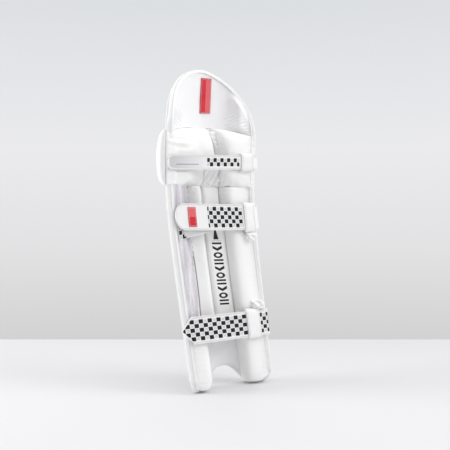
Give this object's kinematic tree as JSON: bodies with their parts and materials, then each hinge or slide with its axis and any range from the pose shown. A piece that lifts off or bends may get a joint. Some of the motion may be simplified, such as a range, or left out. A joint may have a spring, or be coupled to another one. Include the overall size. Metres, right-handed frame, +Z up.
{
  "type": "cricket batting pad",
  "caption": "Upright batting leg guard that wraps round shin and knee, with padded front rolls, inner cushions, a rounded top flap, an instep arch and hook-and-loop straps across the back.",
  "frame": {"origin": "middle of the base of the bounding box, where the pad stands", "axes": "+Z up the leg, -Y the wearer's side with the straps, +Y the front that faces the bowler, +X to the right seen from the wearer's side"},
  "size_m": [0.288, 0.1098, 0.6846],
  "materials": {
    "white_cover": "soft white coated cover with a fine grain and a low sheen",
    "lining_fabric": "close-woven pale lining",
    "wing_fabric": "soft brushed fabric, pale lavender grey",
    "foam": "dense closed-cell foam board",
    "cane": "split cane, plain",
    "check_webbing": "white webbing with a stitched border and a black checkered print",
    "hook_and_loop": "hook-and-loop pile",
    "red_patch": "plain red moulded patch with a stitched rim"
  },
  "bodies": {
    "pad": {"inner_lining": "lining_fabric", "shin_foam_board": "foam", "front_face": "white_cover", "top_flap_lining": "lining_fabric", "top_flap_foam_board": "foam", "top_flap_face": "white_cover", "edge_piping": "white_cover", "instep_binding": "white_cover", "front_bolster_1": "white_cover", "cane_rod_1": "cane", "front_bolster_2": "white_cover", "cane_rod_2": "cane", "front_bolster_3": "white_cover", "cane_rod_3": "cane", "front_bolster_4": "white_cover", "cane_rod_4": "cane", "front_bolster_5": "white_cover", "cane_rod_5": "cane", "front_bolster_6": "white_cover", "cane_rod_6": "cane", "front_bolster_7": "white_cover", "cane_rod_7": "cane", "knee_roll_lower": "white_cover", "knee_roll_core_lower": "foam", "knee_roll_middle": "white_cover", "knee_roll_core_middle": "foam", "knee_roll_upper": "white_cover", "knee_roll_core_upper": "foam", "knee_side_pad_left": "white_cover", "knee_side_pad_right": "white_cover", "knee_cushion_left": "white_cover", "knee_cushion_right": "white_cover", "kneecap_gusset": "white_cover", "ankle_bolster_left": "white_cover", "calf_bolster_left": "white_cover", "shin_strip_pad": "white_cover", "calf_bolster_right": "white_cover", "calf_wing": "wing_fabric", "top_strap_anchor": "check_webbing", "top_strap_keeper": "white_cover", "middle_strap_anchor": "check_webbing", "middle_strap_keeper": "white_cover", "bottom_strap_anchor": "check_webbing", "bottom_strap_keeper": "white_cover", "top_flap_patch": "red_patch"},
    "top_strap_band": {"top_strap": "check_webbing", "top_strap_hook_patch": "hook_and_loop"},
    "top_strap_under_tab": {"top_strap_tab": "check_webbing", "top_strap_loop_patch": "hook_and_loop"},
    "middle_strap_band": {"middle_strap": "check_webbing", "middle_strap_hook_patch": "hook_and_loop", "middle_strap_patch": "red_patch"},
    "middle_strap_under_tab": {"middle_strap_tab": "check_webbing", "middle_strap_loop_patch": "hook_and_loop"},
    "bottom_strap_band": {"bottom_strap": "check_webbing", "bottom_strap_hook_patch": "hook_and_loop"},
    "bottom_strap_under_tab": {"bottom_strap_tab": "check_webbing", "bottom_strap_loop_patch": "hook_and_loop"}
  },
  "joints": [
    {"name": "top_strap_swing", "type": "hinge", "parent": "pad", "child": "top_strap_band", "pos_m": [0.04348, -0.04424, 0.4815], "axis": [-0.012, -0.0352, 0.9993], "range_deg": [0, 130]},
    {"name": "top_strap_tab_lift", "type": "hinge", "parent": "pad", "child": "top_strap_under_tab", "pos_m": [-0.10977, -0.03879, 0.4815], "axis": [-0.012, -0.0352, 0.9993], "range_deg": [-39, 0]},
    {"name": "middle_strap_swing", "type": "hinge", "parent": "pad", "child": "middle_strap_band", "pos_m": [0.05325, -0.04242, 0.365], "axis": [-0.0982, 0.0291, 0.9947], "range_deg": [0, 130]},
    {"name": "middle_strap_tab_lift", "type": "hinge", "parent": "pad", "child": "middle_strap_under_tab", "pos_m": [-0.10234, -0.03697, 0.365], "axis": [-0.0982, 0.0291, 0.9947], "range_deg": [-39, 0]},
    {"name": "bottom_strap_swing", "type": "hinge", "parent": "pad", "child": "bottom_strap_band", "pos_m": [0.05682, -0.04858, 0.135], "axis": [-0.1336, 0.0396, 0.9902], "range_deg": [0, 130]},
    {"name": "bottom_strap_tab_lift", "type": "hinge", "parent": "pad", "child": "bottom_strap_under_tab", "pos_m": [-0.06947, -0.04313, 0.135], "axis": [-0.1336, 0.0396, 0.9902], "range_deg": [-39, 0]}
  ],
  "couplings": [
    {"joint": "top_strap_tab_lift", "follows": "top_strap_swing", "ratio": -0.3},
    {"joint": "middle_strap_tab_lift", "follows": "middle_strap_swing", "ratio": -0.3},
    {"joint": "bottom_strap_tab_lift", "follows": "bottom_strap_swing", "ratio": -0.3}
  ]
}
